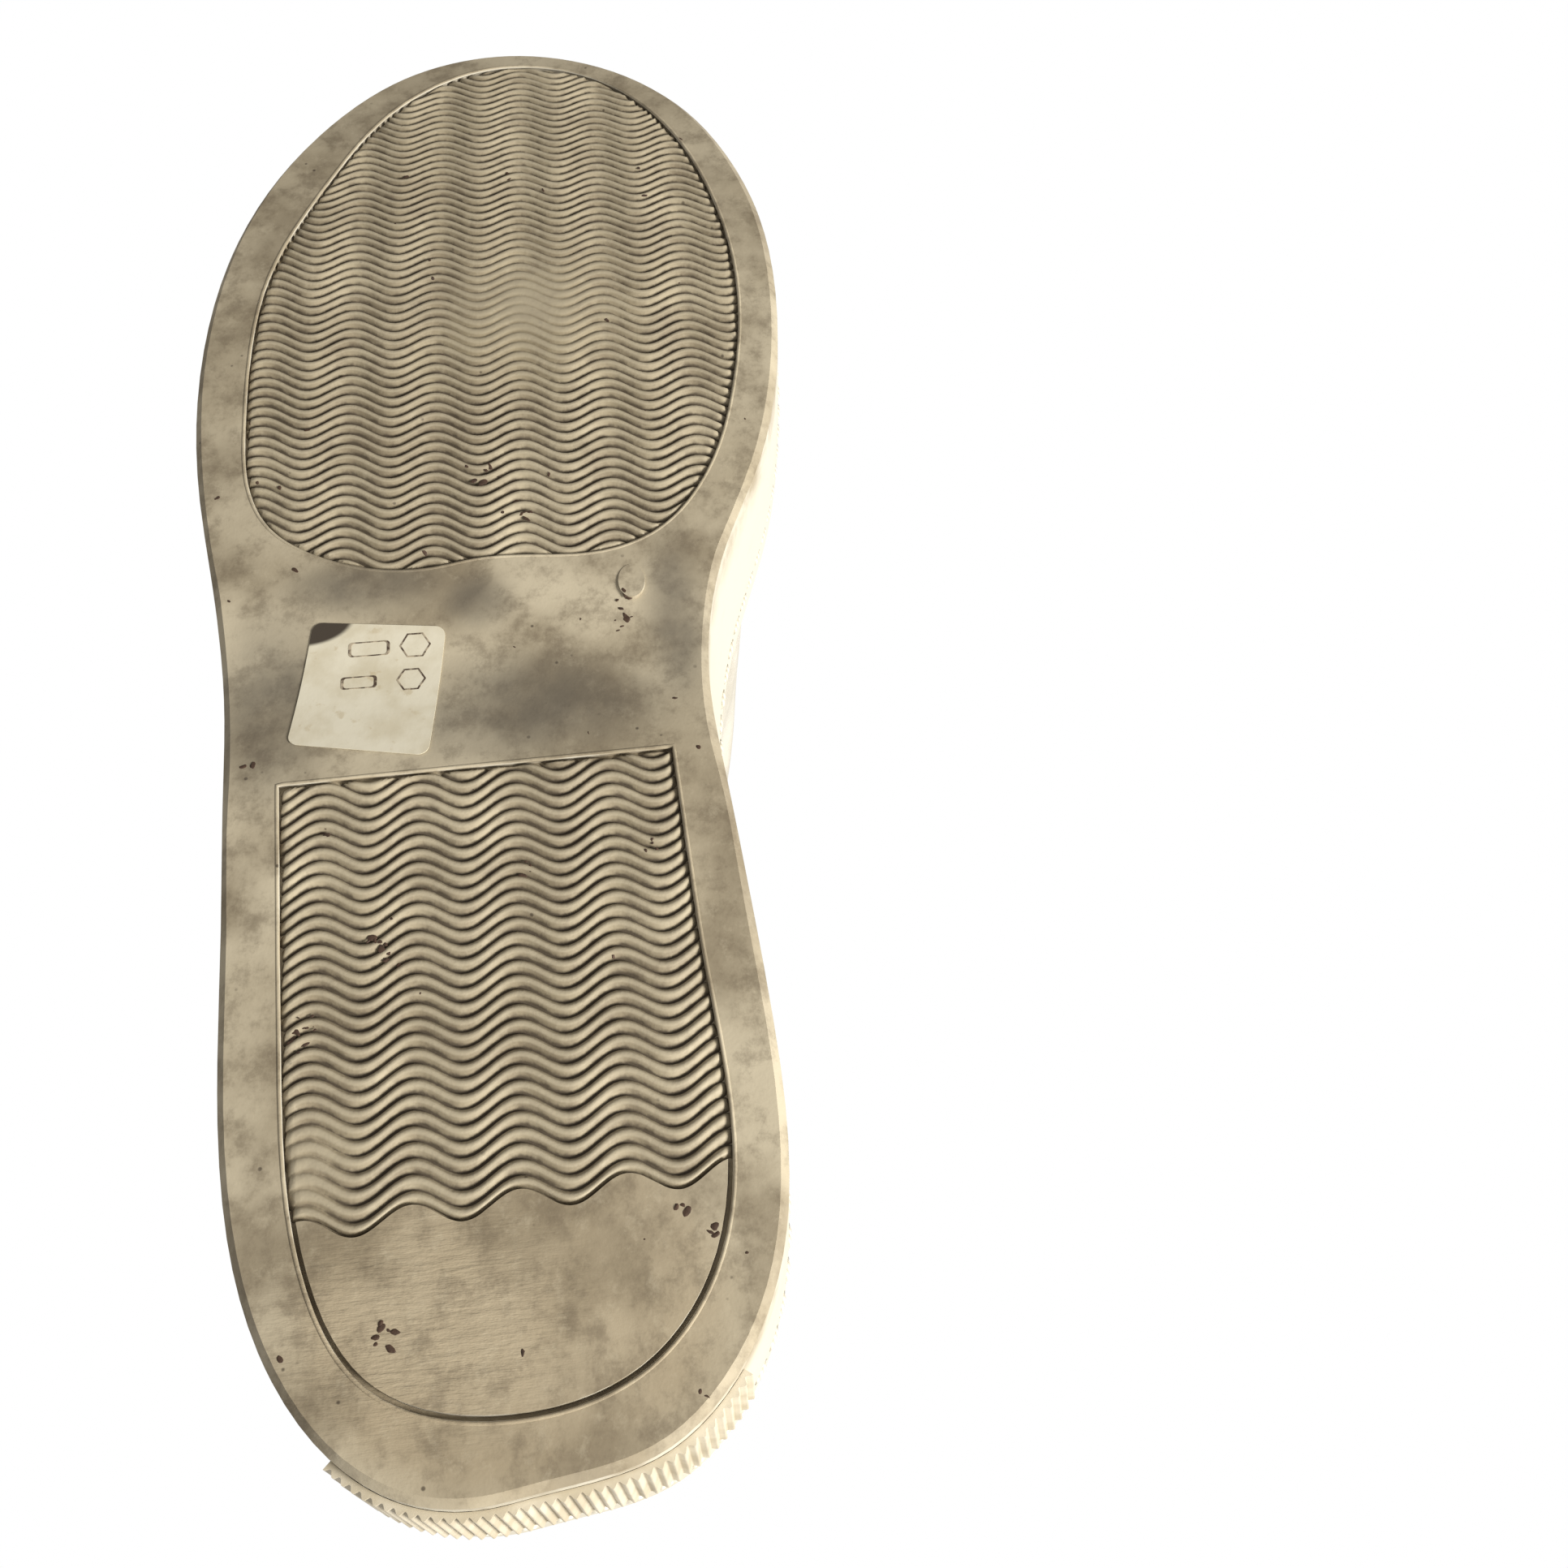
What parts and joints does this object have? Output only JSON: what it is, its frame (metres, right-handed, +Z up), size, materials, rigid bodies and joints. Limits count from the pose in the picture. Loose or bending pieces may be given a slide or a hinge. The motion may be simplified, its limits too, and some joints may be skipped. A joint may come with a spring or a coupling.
{
  "type": "court shoe",
  "caption": "Low court shoe for the right foot: rubber cupsole with two wavy-ridged tread panels, ribbed heel band, padded leather upper and a hinged tongue.",
  "frame": {"origin": "centre of the bounding box at ground level", "axes": "+X towards the toe, +Y towards the inner (medial) side of the foot, +Z up"},
  "size_m": [0.304, 0.1098, 0.124],
  "materials": {
    "sole_rubber": "worn matt, soiled",
    "band_rubber": "matt",
    "label_paper": "matt paper",
    "foam": "matt foam",
    "board": "fibre board",
    "footbed": "matt",
    "leather": "satin",
    "lining": "matt knitted",
    "stiffener": "matt",
    "eyelet": "satin",
    "tape": "matt"
  },
  "bodies": {
    "shoe": {"cupsole": "sole_rubber", "heel_rib_band": "band_rubber", "material_label": "label_paper", "foam_wedge": "foam", "insole_board": "board", "footbed": "footbed", "vamp": "leather", "lateral_quarter": "leather", "medial_quarter": "leather", "quarter_lining": "lining", "vamp_lining": "lining", "toe_puff": "stiffener", "heel_stiffener": "stiffener", "collar_foam": "foam", "collar_lining": "lining", "collar_binding": "leather", "lateral_eyestay": "leather", "medial_eyestay": "leather", "heel_tab": "leather", "back_seam_strip": "leather", "lace_eyelets": "eyelet"},
    "tongue": {"tongue_cover": "leather", "tongue_foam": "foam", "tongue_lining": "lining", "lace_keeper": "tape"}
  },
  "joints": [
    {"name": "tongue_swing", "type": "hinge", "parent": "shoe", "child": "tongue", "pos_m": [0.0585, 0.001, 0.0715], "axis": [0, -1, 0], "range_deg": [0, 15], "stiffness_Nm_per_rad": 0.15, "springref_deg": -6.88}
  ]
}
